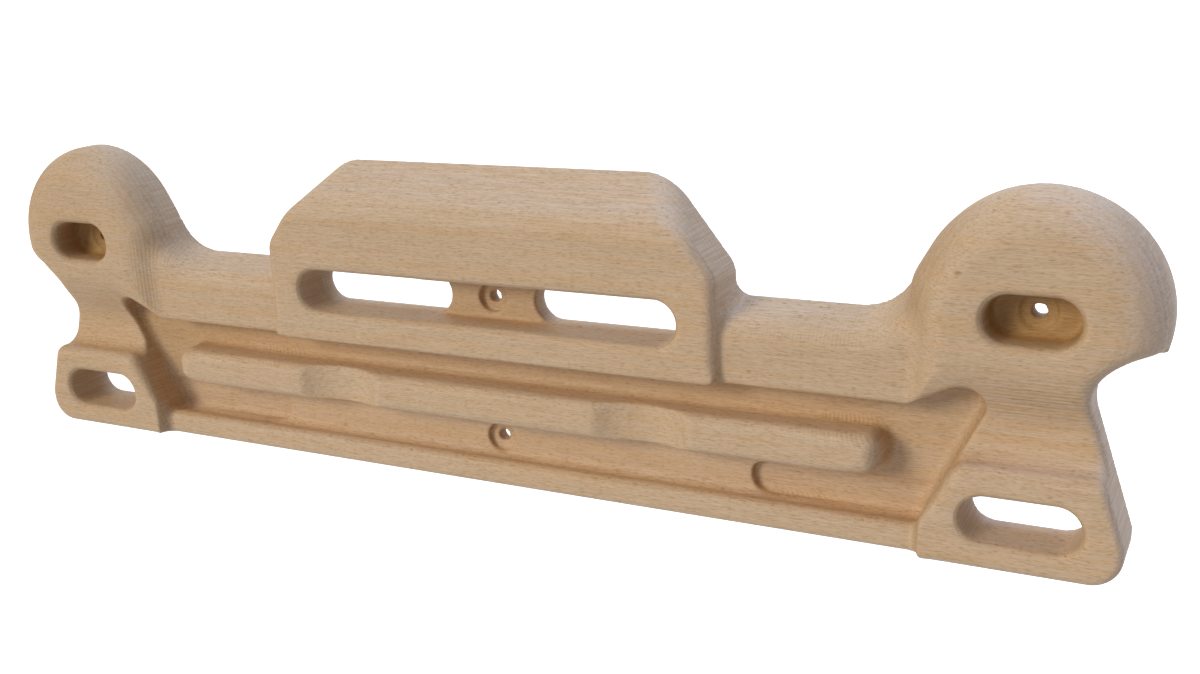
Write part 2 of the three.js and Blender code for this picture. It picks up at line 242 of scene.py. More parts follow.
# How strongly painted shade darkens and warms each hollow, and where. In the recess it grows leftwards
# and upwards.
RECESS_SHADE = 0.22
RECESS_SHADE_LEFT_GAIN = 0.28
RECESS_SHADE_LEFT_SPAN = (60, 200)
RECESS_DEPTH_SPAN = (20, 11)
RECESS_INSIDE_SPAN = (2, -8)
RECESS_HEIGHT_SPAN = (28, 52)
WINDOW_SHADE = 0.27
WINDOW_DEPTH_SPAN = (26, 12)
POCKET_DEPTH_SPAN = (28, 12)
INSIDE_SPAN = (3, -1)
BACK_SPAN = (2, 5)

# The outlines that the cutter's passes follow
CUTTER_PATHS = ["pod", "slot", "pocket", "window"]


# Outlines of lines and arcs
def arc_ends(item):
    _, cx, cz, radius, start, end = item
    return ((cx + radius * math.cos(start), cz + radius * math.sin(start)),
            (cx + radius * math.cos(end), cz + radius * math.sin(end)))


def outline(*items):
    """A closed path. An item is a corner (x, z), a rounded corner (x, z, radius), or an
    ("arc", x, z, radius, start, end)."""
    firsts = [arc_ends(i)[0] if i[0] == "arc" else i[:2] for i in items]
    lasts = [arc_ends(i)[1] if i[0] == "arc" else i[:2] for i in items]
    arcs = []
    spans = []
    for n, item in enumerate(items):
        if item[0] == "arc":
            arcs.append(item[1:4] + ((item[4] + item[5]) / 2, abs(item[5] - item[4]) / 2))
            spans.append((firsts[n], lasts[n]))
            continue
        if len(item) == 2:
            spans.append((item, item))
            continue
        corner = np.array(item[:2])
        before = np.array(lasts[n - 1]) - corner
        after = np.array(firsts[(n + 1) % len(items)]) - corner
        before /= np.hypot(*before)
        after /= np.hypot(*after)
        half = math.acos(float(before @ after)) / 2
        reach = item[2] / math.tan(half)
        middle = (before + after) / np.hypot(*(before + after))
        centre = corner + middle * item[2] / math.sin(half)
        start = corner + before * reach
        end = corner + after * reach
        towards = math.atan2(-middle[1], -middle[0])
        arcs.append((centre[0], centre[1], item[2], towards, math.pi / 2 - half))
        spans.append((tuple(start), tuple(end)))
    lines = [(spans[n - 1][1], spans[n][0]) for n in range(len(spans))]
    chords = [span for span in spans if span[0] != span[1]]
    return lines, chords, arcs


def distance(path, x, z):
    """Signed distance to a closed path, negative inside."""
    lines, chords, arcs = path
    best = np.full(x.shape, FAR_OFF)
    inside = np.zeros(x.shape, bool)
    for (ax, az), (bx, bz) in lines + chords:
        if az != bz:
            crossing = (az > z) != (bz > z)
            inside ^= crossing & (x < (bx - ax) * (z - az) / (bz - az) + ax)
    for (ax, az), (bx, bz) in lines:
        ux, uz = bx - ax, bz - az
        square = ux * ux + uz * uz
        if square > LEAST_SQUARE:
            t = np.clip(((x - ax) * ux + (z - az) * uz) / square, 0, 1)
            best = np.minimum(best, np.hypot(x - ax - t * ux, z - az - t * uz))
    for cx, cz, radius, middle, half in arcs:
        dx, dz = x - cx, z - cz
        reach = np.hypot(dx, dz)
        turn = np.abs((np.arctan2(dz, dx) - middle + math.pi) % (2 * math.pi) - math.pi)
        over = np.clip(turn - half, 0, math.pi)
        square = reach ** 2 + radius ** 2 - 2 * reach * radius * np.cos(over)
        to_end = np.sqrt(np.maximum(square, 0))
        best = np.minimum(best, np.where(turn <= half, np.abs(reach - radius), to_end))
        beyond = dx * math.cos(middle) + dz * math.sin(middle) > radius * math.cos(half)
        inside ^= (reach < radius) & beyond
    return np.where(inside, -best, best)


def oblong(centre, half_length, radius=OPENING_RADIUS):
    def measure(x, z):
        along = np.maximum(np.abs(x - centre[0]) - (half_length - radius), 0)
        return np.hypot(along, z - centre[1]) - radius
    return measure


# Joining of fields
def both(a, b, r):
    """Where a and b overlap, with the edge between them rounded."""
    return np.minimum(np.maximum(a, b), -r) + np.hypot(np.maximum(a + r, 0), np.maximum(b + r, 0))


def either(a, b, r):
    """a and b joined, with a fillet between them."""
    return np.maximum(np.minimum(a, b), r) - np.hypot(np.maximum(r - a, 0), np.maximum(r - b, 0))


def without(a, b, r):
    return both(a, -b, r)


def hollow(side, d, floor, fillet):
    """What a cutter clears that follows an outline down to a floor, with a fillet there."""
    return both(side, floor - d, fillet)


def rise(span, value):
    """From 0 at the span's first place to 1 at its second."""
    t = np.clip((value - span[0]) / (span[1] - span[0]), 0, 1)
    return t * t * (3 - 2 * t)


# The outlines
def block_outline():
    """The slanted side runs on past the height where the sloping top cuts it off."""
    slant_x = BLOCK_SIDE - BLOCK_SLANT_OVERRUN * BLOCK_SLANT_RUN
    slant_z = BLOCK_KNEE + BLOCK_SLANT_OVERRUN * (BLOCK_TOP - BLOCK_KNEE)
    return outline((PAST_MIDDLE, BLOCK_FOOT), (BLOCK_SIDE, BLOCK_FOOT, BLOCK_FOOT_ROUND),
                   (BLOCK_SIDE, BLOCK_KNEE, BLOCK_KNEE_ROUND), (slant_x, slant_z),
                   (PAST_MIDDLE, slant_z))


def arm_outline():
    """The arm's top runs up to the pod's kink in an arc, and on past it along the tangent."""
    curve_height = ARM_TOP + ARM_POD_FILLET
    run = math.sqrt(ARM_POD_FILLET ** 2 - (KINK[1] - curve_height) ** 2)
    start = math.atan2(KINK[1] - curve_height, run)
    past = (KINK[0] - POD_RADIUS / 2 * math.sin(start), KINK[1] + POD_RADIUS / 2 * math.cos(start))
    return outline((PAST_MIDDLE, PAST_MIDDLE), (ARM_OUTLINE_END, PAST_MIDDLE), (ARM_OUTLINE_END, past[1]),
                   past, ("arc", KINK[0] - run, curve_height, ARM_POD_FILLET, start, -math.pi / 2),
                   (PAST_MIDDLE, ARM_TOP))


def pod_outline():
    """Straight on the inner side and along the base, and round from the skirt to the kink."""
    run, height = KINK[0] - POD[0], KINK[1] - POD[1]
    tangent = math.atan2(height, run) - math.acos(POD_RADIUS / math.hypot(run, height))
    tangent %= 2 * math.pi
    skirt_run = (POD_RADIUS + (POD[1] - POD_BASE) * math.sin(POD_SKIRT)) / math.cos(POD_SKIRT)
    return outline((POD_INNER, POD_TOE), (POD_KNEE, POD_BASE), (POD[0] + skirt_run, POD_BASE),
                   ("arc", POD[0], POD[1], POD_RADIUS, POD_SKIRT, tangent), KINK + (KINK_ROUND,))


def edge_outline():
    """The bottom edge, the ear's side and the neck. Further up it lies clear of the board."""
    run, height = EAR_SIDE - NECK[0], EAR_SHOULDER - NECK[1]
    start = math.atan2(height, run) % (2 * math.pi)
    start -= math.acos(NECK_RADIUS / math.hypot(run, height))
    return outline((PAST_MIDDLE, 0), (EAR_SIDE, 0, EAR_CORNER_ROUND), (EAR_SIDE, EAR_SHOULDER),
                   ("arc", NECK[0], NECK[1], NECK_RADIUS, start, NECK_END),
                   (BEYOND_EAR, BEYOND_NECK), (BEYOND_EAR, BEYOND_TOP), (PAST_MIDDLE, BEYOND_TOP))


def recess_outline():
    return outline((PAST_MIDDLE, RECESS_BELOW), (EAR_INNER, RECESS_BELOW),
                   (EAR_INNER, RECESS_FOOT, RECESS_FOOT_ROUND), RECESS_TIP + (RECESS_TIP_ROUND,),
                   (RECESS_CORNER, BEAM_BOTTOM, RECESS_CORNER_ROUND), (PAST_MIDDLE, BEAM_BOTTOM))


def rung_outline():
    return outline((PAST_MIDDLE, RUNG_BOTTOM), (RUNG_END, RUNG_BOTTOM, RUNG_CORNER_ROUND),
                   (RUNG_END, RUNG_TOP, RUNG_CORNER_ROUND), (PAST_MIDDLE, RUNG_TOP))


PATHS = {"block": block_outline(), "arm": arm_outline(), "pod": pod_outline(), "edge": edge_outline(),
         "recess": recess_outline(), "rung": rung_outline()}
OBLONGS = {"deep": oblong(DEEP, DEEP_HALF_LENGTH), "slot": oblong(SLOT, SLOT_HALF_LENGTH),
           "pocket": oblong(POD, POCKET_HALF_LENGTH), "window": oblong(WINDOW, WINDOW_HALF_LENGTH),
           "hole": oblong(WINDOW_HOLE, WINDOW_HOLE_HALF_LENGTH)}


def flat_distances(x, z):
    """Distances in the front view: to each outline, and to the nearest screw's axis."""
    found = {name: distance(path, x, z) for name, path in PATHS.items()}
    found.update({name: measure(x, z) for name, measure in OBLONGS.items()})
    found["screw"] = np.minimum.reduce([np.hypot(x - cx, z - cz) for cx, cz in SCREWS])
    return found


# The field, part by part. s holds the distances to the outlines.
def block_and_arms(d, x, z, s):
    slope = ((z - BLOCK_TOP) * PANEL + d * TOP_DROP) / math.hypot(TOP_DROP, PANEL)
    rim = BLOCK_RIM + BLOCK_RIM_GAIN * rise(BLOCK_RIM_SPAN, z)
    block = both(both(s["block"], slope, TOP_ROUND), d - PANEL, rim)
    lean = math.atan(ARM_GRADE)
    top = s["arm"] * math.cos(lean) + d * math.sin(lean)
    ends = np.maximum(x - ARM_END, z - KINK[1])
    arm = np.maximum(both(top, d - ARM_FRONT, ARM_ROUND), ends)
    return either(block, arm, ARM_BLOCK_FILLET + ARM_BLOCK_GAIN * rise(ARM_BLOCK_SPAN, z))


def pods_and_ears(d, x, z, s):
    pod = both(s["pod"], d - PANEL, POD_ROUND)
    ear = either(both(z - LEDGE_TOP, d - PANEL, LEDGE_ROUND), d - NECK_FRONT, LEDGE_FILLET)
    notch = np.minimum(x - NECK_NOTCH[0], z - NECK_NOTCH[1])
    ear = np.maximum(ear, np.maximum(np.maximum(z - NECK_TOP, NECK_INNER - x), notch))
    return either(pod, ear, POD_NECK_FILLET)


def cut_recess(body, d, x, z, s):
    place = rise(RIM_SIDE_SPAN, x) * rise(RIM_DEPTH_SPAN, d) * rise(RIM_LOW_SPAN, z)
    rim = RIM + RIM_GAIN * place * rise(RIM_HIGH_SPAN, z)
    floor = HOLLOW_FLOOR - RECESS_SINK * rise(RECESS_SINK_SPAN, x)
    body = without(body, hollow(s["recess"], d, floor, RECESS_FILLET), rim)
    end = rise(DEEP_SPAN, x)
    side = both(s["deep"], z - DEEP_TOP, DEEP_TOP_ROUND)
    deep = np.maximum(hollow(side, d, DEEP_FLOOR, DEEP_FILLET + DEEP_FILLET_GAIN * end),
                      hollow(s["recess"], d, DEEP_FLOOR, RECESS_FILLET))
    return without(body, np.maximum(deep, d - CUTTER_FRONT), DEEP_RIM + DEEP_RIM_GAIN * end)


def add_shelf_and_rung(body, d, x, z, s):
    ledge = (z - SHELF_BACK - (d - HOLLOW_FLOOR) * SHELF_GRADE) * SHELF_COSINE
    shelf = both(ledge, d - SHELF_FRONT, SHELF_ROUND)
    body = either(body, np.maximum(shelf, x - SHELF_END), SHELF_FILLET)
    rung = both(s["rung"], d - RUNG_FRONT, RUNG_ROUND + RUNG_ROUND_GAIN * rise(RUNG_ROUND_SPAN, x))
    scoop = np.hypot(x - SCOOP[0], d - SCOOP[1]) - SCOOP_RADIUS
    return either(body, without(rung, scoop, SCOOP_EDGE), RUNG_FILLET)


def cut_openings(body, d, x, s):
    body = without(body, s["slot"], SLOT_MOUTH_ROUND)
    body = without(body, hollow(s["pocket"], d, HOLLOW_FLOOR, POCKET_FILLET), MOUTH_ROUND)
    body = without(body, hollow(s["window"], d, HOLLOW_FLOOR, WINDOW_FILLET), MOUTH_ROUND)
    body = without(body, s["hole"], WINDOW_HOLE_EDGE)
    in_pod = rise(SEAT_SPAN, x)
    seat = hollow(s["screw"] - SEAT_RADIUS, d, SEAT_FLOOR + SEAT_FLOOR_GAIN * in_pod, SEAT_FILLET)
    body = without(body, np.maximum(seat, d - CUTTER_FRONT), SEAT_EDGE + SEAT_EDGE_GAIN * in_pod)
    return without(body, np.maximum(s["screw"] - SCREW_RADIUS, d - CUTTER_FRONT), SCREW_EDGE)


def round_outside(body, d, x, z, s):
    outer = OUTER_ROUND + OUTER_EAR_GAIN * rise(OUTER_EAR_SPAN, x)
    outer = outer + OUTER_NECK_GAIN * rise(OUTER_NECK_SPAN, z) * rise(OUTER_NECK_SIDE_SPAN, x)
    outer = OUTER_BACK_ROUND + (outer - OUTER_BACK_ROUND) * rise(OUTER_DEPTH_SPAN, d)
    return both(both(body, s["edge"], outer), -d, BACK_ROUND)


def field(x, d, z, s):
    side_fillet = ARM_SIDE_FILLET + ARM_SIDE_GAIN * rise(ARM_SIDE_SPAN, z)
    body = either(block_and_arms(d, x, z, s), pods_and_ears(d, x, z, s), side_fillet)
    body = cut_recess(body, d, x, z, s)
    body = add_shelf_and_rung(body, d, x, z, s)
    body = cut_openings(body, d, x, s)
    return round_outside(body, d, x, z, s)


# From the field to a mesh of quads
def sample_grid():
    """The field on a grid over the right half, mirrored to both, and the grid's first point."""
    half = np.arange(0.5, GRID_SIDE / STEP) * STEP
    depths = np.arange(GRID_BACK_STEPS * STEP, GRID_FRONT, STEP)
    heights = np.arange(GRID_BOTTOM_STEPS * STEP, GRID_TOP, STEP)
    x, z = np.meshgrid(half, heights, indexing="ij")
    flat = {name: values[:, None, :] for name, values in flat_distances(x, z).items()}
    values = field(half[:, None, None], depths[None, :, None], heights[None, None, :], flat)
    values = np.concatenate([values[::-1], values])
    return values, np.array([-half[-1], depths[0], heights[0]])


def surface(values):
    """One point in each cell that the surface passes through, and the quads between them."""
    inside = values < 0
    shape = [n - 1 for n in values.shape]
    total = np.zeros(shape + [3])
    count = np.zeros(shape, int)
    crossings = []
    for axis in range(3):
        low = [slice(None)] * 3
        high = [slice(None)] * 3
        low[axis] = slice(None, -1)
        high[axis] = slice(1, None)
        crosses = np.argwhere(inside[tuple(low)] != inside[tuple(high)])
        ends = crosses.copy()
        ends[:, axis] += 1
        first = values[tuple(crosses.T)]
        last = values[tuple(ends.T)]
        points = crosses.astype(float)
        points[:, axis] += first / (first - last)
        others = [a for a in range(3) if a != axis]
        corners = []
        for back_a, back_b in ((1, 1), (0, 1), (0, 0), (1, 0)):
            cell = crosses.copy()
            cell[:, others[0]] -= back_a
            cell[:, others[1]] -= back_b
            np.add.at(total, tuple(cell.T), points)
            np.add.at(count, tuple(cell.T), 1)
            corners.append(cell)
        crossings.append((corners, first < last, axis))
    cells = np.argwhere(count > 0)
    number = np.full(shape, -1)
    number[tuple(cells.T)] = np.arange(len(cells))
    points = total[tuple(cells.T)] / count[tuple(cells.T)][:, None]
    quads = []
    for corners, outwards, axis in crossings:
        faces = np.stack([number[tuple(cell.T)] for cell in corners], 1)
        # About the middle axis the four cells run the other way round
        turned = outwards if axis != 1 else ~outwards
        faces[turned] = faces[turned][:, ::-1]
        quads.append(faces)
    return points, np.concatenate(quads)


def settle(points, values, start):
    """Moves the points onto the surface along the field's slope."""
    slopes = np.stack(np.gradient(values, STEP), -1)
    last_place = np.array(values.shape) - LAST_LOOKUP
    for _ in range(SETTLE_ROUNDS):
        place = np.clip((points - start) / STEP, 0, last_place)
        cell = place.astype(int)
        part = place - cell
        slope = np.zeros_like(points)
        for corner in np.ndindex(2, 2, 2):
            weight = np.prod(np.where(corner, part, 1 - part), axis=1)
            slope += slopes[tuple((cell + corner).T)] * weight[:, None]
        x, d, z = np.abs(points[:, 0]), points[:, 1], points[:, 2]
        amount = field(x, d, z, flat_distances(x, z))
        move = amount[:, None] * slope / np.maximum((slope ** 2).sum(1), LEAST_SLOPE)[:, None]
        points = points - np.clip(move, -SETTLE_REACH * STEP, SETTLE_REACH * STEP)
    return points


def make_board():
    values, start = sample_grid()
    points, quads = surface(values)
    return settle(points * STEP + start, values, start), quads


# Cutting to staves
def add_mesh(name, points, quads):
    """A mesh in metres in the frame, from points given as x, d and z in millimetres."""
    mesh = bpy.data.meshes.new(name)
    mesh.vertices.add(len(points))
    place = np.stack([points[:, 0], -points[:, 1], points[:, 2] - ORIGIN_HEIGHT], 1)
    mesh.vertices.foreach_set("co", (place / MM_IN_METRE).ravel())
    mesh.loops.add(quads.size)
    mesh.loops.foreach_set("vertex_index", quads.ravel())
    mesh.polygons.add(len(quads))
    mesh.polygons.foreach_set("loop_start", np.arange(0, quads.size, 4))
    mesh.update(calc_edges=True)
    return mesh


def mesh_points(mesh):
    """A mesh's points as x, d and z in millimetres."""
    place = np.empty(len(mesh.vertices) * 3)
    mesh.vertices.foreach_get("co", place)
    place = place.reshape(-1, 3) * MM_IN_METRE
    return np.stack([place[:, 0], -place[:, 1], place[:, 2] + ORIGIN_HEIGHT], 1)


def cut(bm, height, keep_above):
    """Cuts the mesh at a height, keeps one side and closes the cut with a flat face."""
    geometry = bm.verts[:] + bm.edges[:] + bm.faces[:]
    found = bmesh.ops.bisect_plane(bm, geom=geometry, dist=CUT_MERGE, plane_no=(0, 0, 1),
                                   plane_co=(0, 0, (height - ORIGIN_HEIGHT) / MM_IN_METRE),
                                   clear_inner=keep_above, clear_outer=not keep_above)
    rim = [e for e in found["geom_cut"] if isinstance(e, bmesh.types.BMEdge)]
    normal = (0, 0, -1 if keep_above else 1)
    made = bmesh.ops.triangle_fill(bm, edges=rim, use_beauty=True, normal=normal)
    faces = [f for f in made["geom"] if isinstance(f, bmesh.types.BMFace)]
    for face in faces:
        face.smooth = False
        if face.normal.z * normal[2] < 0:
            face.normal_flip()
    for edge in rim:
        if edge.is_valid:
            edge.smooth = False


def surface_marks(points):
    """How strongly a point is darkened by the painted shade of the hollow that it lies in, and how far it
    lies, in the front view, from the nearest outline that the cutter's passes follow."""
    x, d, z = np.abs(points[:, 0]), points[:, 1], points[:, 2]
    s = flat_distances(x, z)
    recess = RECESS_SHADE + RECESS_SHADE_LEFT_GAIN * rise(RECESS_SHADE_LEFT_SPAN, -points[:, 0])
    recess = recess * rise(RECESS_DEPTH_SPAN, d) * rise(RECESS_INSIDE_SPAN, s["recess"])
    recess = recess * rise(RECESS_HEIGHT_SPAN, z)
    window = WINDOW_SHADE * rise(WINDOW_DEPTH_SPAN, d) * rise(INSIDE_SPAN, s["window"])
    pocket = rise(POCKET_DEPTH_SPAN, d) * rise(INSIDE_SPAN, s["pocket"])
    hollow_shade = np.maximum(np.maximum(recess, window), pocket) * rise(BACK_SPAN, d)
    near = np.stack([np.abs(s[name]) for name in CUTTER_PATHS])
    passes = np.take_along_axis(near, near.argmin(0)[None], 0)[0]
    return hollow_shade, passes


def stave_mesh(name, points, quads, low, high, span):
    """The board between two heights, cut flat there, and within a span of x."""
    heights = points[:, 2][quads]
    across = points[:, 0][quads]
    keep = (across.min(1) > span[0]) & (across.max(1) < span[1])
    if low is not None:
        keep &= heights.max(1) > low - CUT_MARGIN
    if high is not None:
        keep &= heights.min(1) < high + CUT_MARGIN
    used, packed = np.unique(quads[keep], return_inverse=True)
    mesh = add_mesh(name, points[used], packed.reshape(-1, 4))
    bm = bmesh.new()
    bm.from_mesh(mesh)
    for face in bm.faces:
        face.smooth = True
    if low is not None:
        cut(bm, low, True)
    if high is not None:
        cut(bm, high, False)
    bm.to_mesh(mesh)
    bm.free()
    return mesh


def make_piece(name, node, mesh, material):
    """Puts one stave's mesh in the place of its solid."""
    # The painted hollow shade and the distance to the cutter's passes become point attributes
    for mark, values in zip(("painted_hollow_shade", "passes"), surface_marks(mesh_points(mesh))):
        layer = mesh.attributes.new(mark, "FLOAT", "POINT")
        layer.data.foreach_set("value", values)
    mesh.materials.append(material)
    piece = bpy.data.objects.new(name, mesh)
    bpy.context.scene.collection.objects.link(piece)
    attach(piece, "root")
    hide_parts(node)


# The beeches: tone, pith, width of a year's ring and seed. A pith is given by its y and z at
# x = 0, in millimetres, and by how much each of them falls per millimetre to the right.
BEECHES = {
    "beech_lower": (1.03, (85, -62, 0.010, 0.020), 1.9, 4.0),
    "beech_middle": (1.0, (-120, 10, -0.012, -0.035), 2.5, 17.0),
    "beech_upper": (1.0, (95, 42, 0.008, 0.030), 2.8, 29.0),
}

# The noises: lumps per millimetre along the board, in depth and in height, what is added to
# the seed, detail and roughness. The one for the years has its lumps per year instead.
NOISES = {
    "sway": ((0.005, 0.012, 0.012), 0, 1.0, 0.5),
    "ripple": ((0.02, 0.12, 0.12), 3, 1.0, 0.5),
    "streak": ((0.008, 0.12, 0.25), 11, 2.0, 0.5),
    "fibre": ((0.045, 0.7, 1.3), 5, 3.0, 0.6),
    "thread": ((0.16, 1.6, 2.7), 23, 2.0, 0.6),
    "dash": ((0.31, 1.1, 2.4), 41, 1.0, 0.5),
    "pore": ((0.8, 2.0, 2.0), 31, 2.0, 0.7),
    "end line": ((1.3, 0.035, 1.3), 53, 2.0, 0.6),
    "patch": ((0.03, 0.03, 0.03), 7, 1.0, 0.5),
    "year": ((0.37, 1.0, 1.0), 0, 0.0, 0.5),
}

# The raw values of a noise that become -1 and 1, and the ray flecks' cells per millimetre
NOISE_RANGE = (0.25, 0.75)
FLECK_SCALE = (0.30, 0.5, 1.3)

# How far the rings sway and ripple in millimetres, where in a year its late wood lies, and
# how much the years differ
RING_SWAY = 3.0
RING_RIPPLE = 0.5
LATE_WOOD_START = (0.3, 0.9)
LATE_WOOD_END = (1.0, 0.92)
YEAR_SHARE = 0.35
YEAR_BASE = 0.65

# The tones that plain faces and end grain start from, where 1 is the plain wood, and what
# each mark adds to them. What is given for the ray flecks is taken off, and the painted shade at
# the left end is a share. A range is where a mark begins to show and where it shows in full, but
# the left end's painted shade is where it shows in full and where it ends.
TONE_BASE = 1.075
RING_TONE = -0.05
STREAK_TONE = 0.03
FIBRE_TONE = 0.08
THREAD_TONE = 0.10
DASH_TONE = -0.19
DASH_RANGE = (0.2, 0.85)
FLECK_TONE = 0.20
FLECK_UP_TONE = 0.08
FLECK_RANGE = (0.40, 0.16)
FLECK_CHANCE_RANGE = (0.55, 0.9)
END_TONE = 0.89
END_PORE_TONE = 0.07
END_LINE_TONE = 0.12
END_RING_TONE = -0.12
LEFT_END_SHADE = -0.08
LEFT_END_SHADE_RANGE = (-290, -150)

# Small knots and cracks: place x, d, z, half length, half width, darkness
MARKS = [(221.3, 27.6, 123, 2.4, 1.3, 0.35), (-94.3, 10.6, 15, 2.6, 1.5, 0.3),
         (92, 17, 80.5, 4.5, 1.0, 0.45)]
MARK_RANGE = (1.0, 0.2)

# Colours, and how much faster blue and slower red fall than green where the wood is darker
LIGHT_WOOD = (0.66, 0.452, 0.275)
WARM_WOOD = (0.65, 0.42, 0.228)
END_WOOD = (0.55, 0.36, 0.21)
# Painted shade for the hollows: a darker, warmer colour standing in for their shade and warm bounce light
HOLLOW_SHADE = (0.74, 0.63, 0.38, 1)
WARM_RANGE = (-0.6, 1.0)
END_WOOD_SHARE = 0.7
RED_POWER = 0.75
BLUE_POWER = 1.6

# How far a face has to point sideways to show end grain, and upwards to count as facing up
END_GRAIN_RANGE = (0.25, 0.85)
UPWARD_RANGE = (0.35, 0.9)

# Relief in millimetres, where the cutter's passes show in it, roughness and gloss
FIBRE_RELIEF = 0.012
THREAD_RELIEF = 0.010
PASS_RELIEF = 0.05
PASS_PITCH = 1.7
PASS_FLAT_RANGE = (0.995, 0.93)
PASS_STEEP_RANGE = (0.02, 0.2)
PATCH_RANGE = (-0.6, 0.5, 0.3, 1.0)
ROUGHNESS = 0.60
FIBRE_ROUGHNESS = 0.05
END_ROUGHNESS = 0.08
SPECULAR = 0.35

# Sockets of a node that mixes colours
MIX_FIRST = 6
MIX_LAST = 7
MIX_RESULT = 2


class Graph:
    """Short calls for a node tree. An input is a value or another node's output."""

    def __init__(self, tree, seed):
        self.tree = tree
        self.seed = seed

    def add(self, kind, inputs, output=0, **settings):
        node = self.tree.nodes.new(kind)
        for name, value in settings.items():
            setattr(node, name, value)
        for key, value in inputs.items():
            if isinstance(value, bpy.types.NodeSocket):
                self.tree.links.new(value, node.inputs[key])
            else:
                node.inputs[key].default_value = value
        return node.outputs[output]

    def math(self, operation, *values):
        return self.add("ShaderNodeMath", dict(enumerate(values)), operation=operation)

    def plus(self, value, factor, base):
        """value * factor + base"""
        return self.math("MULTIPLY_ADD", value, factor, base)

    def times(self, first, last):
        return self.math("MULTIPLY", first, last)

    def ramp(self, value, low, high, start=0.0, end=1.0):
        inputs = {0: value, 1: low, 2: high, 3: start, 4: end}
        return self.add("ShaderNodeMapRange", inputs, interpolation_type="SMOOTHSTEP")

    def blend(self, factor, first, last, kind="MIX"):
        inputs = {0: factor, MIX_FIRST: first, MIX_LAST: last}
        return self.add("ShaderNodeMix", inputs, MIX_RESULT, data_type="RGBA", blend_type=kind)

    def split(self, vector):
        node = self.tree.nodes.new("ShaderNodeSeparateXYZ")
        self.tree.links.new(vector, node.inputs[0])
        return node.outputs

    def stretched(self, place, scale, offset=0.0):
        inputs = {0: place, 1: tuple(scale), 2: (offset, offset, offset)}
        return self.add("ShaderNodeVectorMath", inputs, operation="MULTIPLY_ADD")

    def noise(self, name, place):
        """One of the listed noises, from -1 to 1."""
        scale, shift, detail, rough = NOISES[name]
        inputs = {"Vector": self.stretched(place, scale, self.seed + shift), "Scale": 1.0,
                  "Detail": detail, "Roughness": rough}
        value = self.add("ShaderNodeTexNoise", inputs)
        return self.ramp(value, *NOISE_RANGE, -1.0, 1.0)

    def attribute(self, name):
        return self.add("ShaderNodeAttribute", {}, "Fac", attribute_name=name)


def growth_rings(g, place, pith, spacing):
    """The late wood of each year, from 0 to 1."""
    x, y, z = g.split(place)
    across = g.math("ADD", y, g.plus(x, pith[2], -pith[0]))
    along = g.math("ADD", z, g.plus(x, pith[3], -pith[1]))
    reach = g.math("SQRT", g.math("ADD", g.times(across, across), g.times(along, along)))
    ripple = g.times(g.noise("ripple", place), RING_RIPPLE)
    wander = g.plus(g.noise("sway", place), RING_SWAY, ripple)
    years = g.math("DIVIDE", g.math("ADD", reach, wander), spacing)
    turn = g.math("FRACT", years)
    late = g.times(g.ramp(turn, *LATE_WOOD_START), g.ramp(turn, *LATE_WOOD_END))
    year = g.add("ShaderNodeCombineXYZ", {0: g.math("FLOOR", years)})
    return g.times(late, g.plus(g.noise("year", year), YEAR_SHARE, YEAR_BASE))


def ray_flecks(g, place, upward):
    """How much the ray flecks darken a place. They show a little more on upward faces."""
    cell = g.tree.nodes.new("ShaderNodeTexVoronoi")
    cell.inputs["Scale"].default_value = 1.0
    g.tree.links.new(g.stretched(place, FLECK_SCALE, g.seed), cell.inputs["Vector"])
    chance = g.tree.nodes.new("ShaderNodeSeparateColor")
    g.tree.links.new(cell.outputs["Color"], chance.inputs[0])
    fleck = g.times(g.ramp(cell.outputs["Distance"], *FLECK_RANGE),
                    g.ramp(chance.outputs[0], *FLECK_CHANCE_RANGE))
    return g.times(fleck, g.plus(upward, FLECK_UP_TONE, FLECK_TONE))


def add_marks(g, place, value):
    for x, d, z, length, width, darkness in MARKS:
        inputs = {0: place, 1: (x, -d, z - ORIGIN_HEIGHT)}
        off = g.add("ShaderNodeVectorMath", inputs, operation="SUBTRACT")
        off = g.stretched(off, (1 / length, 1 / width, 1 / width))
        off = g.add("ShaderNodeVectorMath", {0: off}, "Value", operation="LENGTH")
        value = g.plus(g.ramp(off, *MARK_RANGE), -darkness, value)
    return value


def wood_tone(g, place, grain, end_grain, upward):
    """1 on plain wood, less where it is darker."""
    value = g.plus(grain["ring"], RING_TONE, TONE_BASE)
    value = g.plus(grain["streak"], STREAK_TONE, value)
    value = g.plus(grain["fibre"], FIBRE_TONE, value)
    value = g.plus(grain["thread"], THREAD_TONE, value)
    value = g.plus(g.ramp(g.noise("dash", place), *DASH_RANGE), DASH_TONE, value)
    value = g.plus(ray_flecks(g, place, upward), -1.0, value)
    value = add_marks(g, place, value)
    ends = g.plus(g.noise("pore", place), END_PORE_TONE, END_TONE)
    ends = g.plus(g.noise("end line", place), END_LINE_TONE, ends)
    ends = g.plus(grain["ring"], END_RING_TONE, ends)
    value = g.math("ADD", value, g.times(end_grain, g.math("SUBTRACT", ends, value)))
    # Painted shade: the board darkens towards its left end, where the light falls off
    left_end_shade = g.ramp(g.split(place)[0], *LEFT_END_SHADE_RANGE, LEFT_END_SHADE, 0.0)
    return g.plus(left_end_shade, value, value)


def wood_colour(g, value, streak, end_grain, tone):
    light, warm, end = (tuple(c * tone for c in colour) + (1,)
                        for colour in (LIGHT_WOOD, WARM_WOOD, END_WOOD))
    colour = g.blend(g.ramp(streak, *WARM_RANGE), light, warm)
    colour = g.blend(g.times(end_grain, END_WOOD_SHARE), colour, end)
    shade = g.add("ShaderNodeCombineXYZ", {0: g.math("POWER", value, RED_POWER), 1: value,
                                           2: g.math("POWER", value, BLUE_POWER)})
    colour = g.blend(1.0, colour, shade, "MULTIPLY")
    # Painted shade: the colour is darkened and warmed where the painted hollow shade mark lies
    return g.blend(g.attribute("painted_hollow_shade"), colour, g.blend(1.0, colour, HOLLOW_SHADE, "MULTIPLY"))


